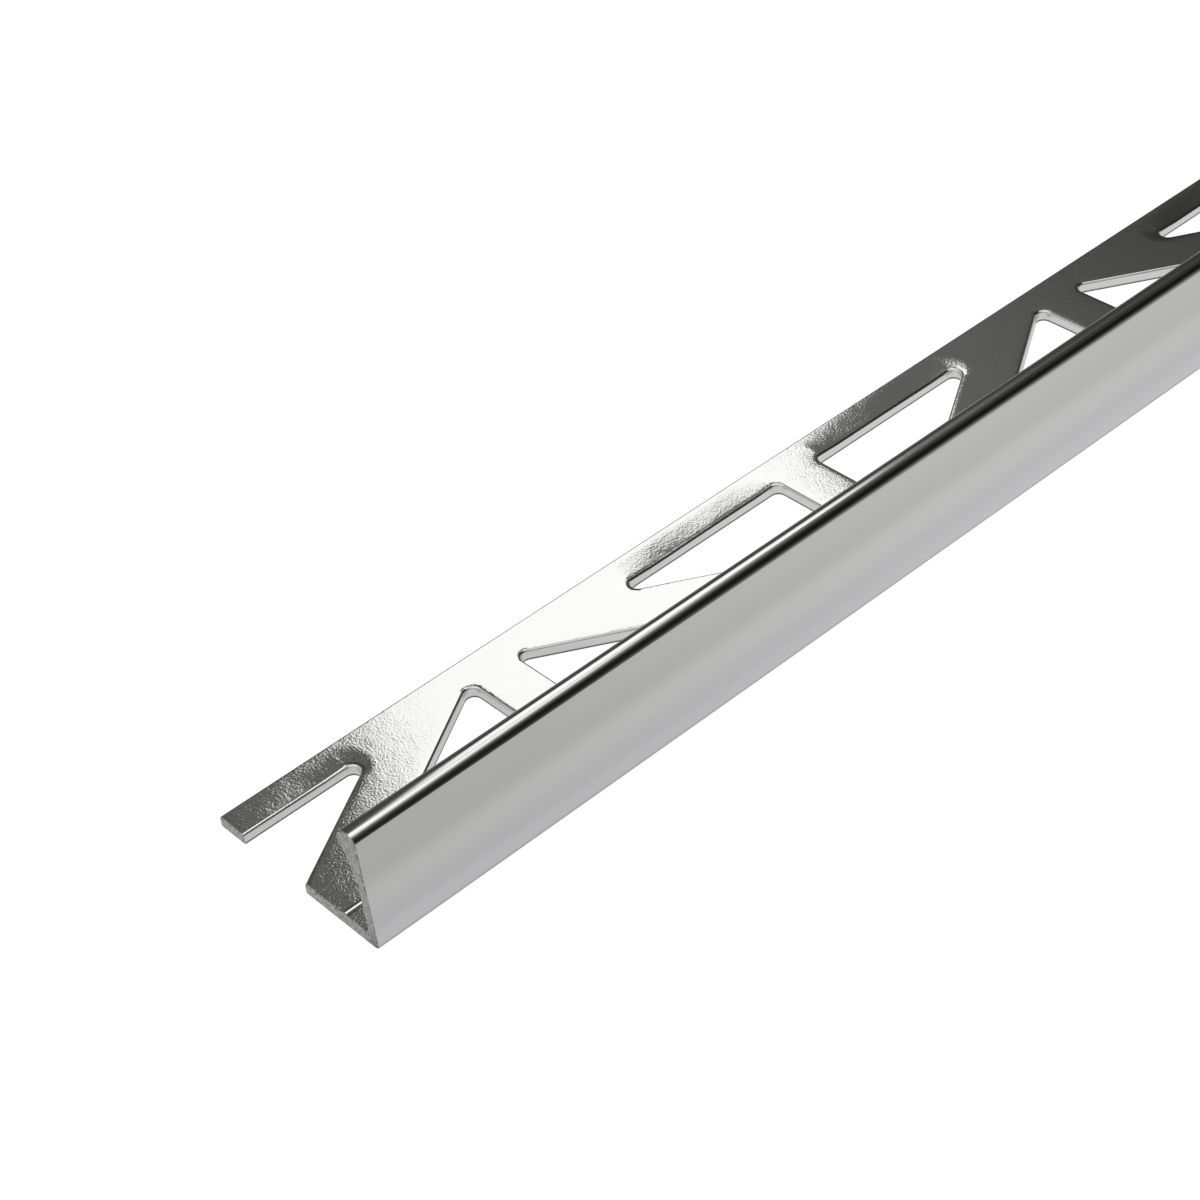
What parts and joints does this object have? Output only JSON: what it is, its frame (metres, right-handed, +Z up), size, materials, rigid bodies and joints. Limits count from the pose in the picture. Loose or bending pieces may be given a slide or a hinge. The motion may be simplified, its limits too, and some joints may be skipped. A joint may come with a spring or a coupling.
{
  "type": "tile edge trim",
  "caption": "Straight extruded tile edge trim: an upright polished face with a rounded top edge on a flat anchoring leg that is punched with rounded triangular openings.",
  "frame": {"origin": "under the middle of the bounding box, on the underside of the anchoring leg", "axes": "+X along the bar away from the sawn end of the picture, -Y out of the visible face, +Y towards the rear edge of the leg, +Z up from the leg to the top edge"},
  "size_m": [1, 0.022, 0.0125],
  "materials": {
    "trim_profile": "bright polished aluminium, satin grain on the punched leg, sawn ends"
  },
  "bodies": {
    "root": {"trim_profile": "trim_profile"}
  },
  "joints": []
}
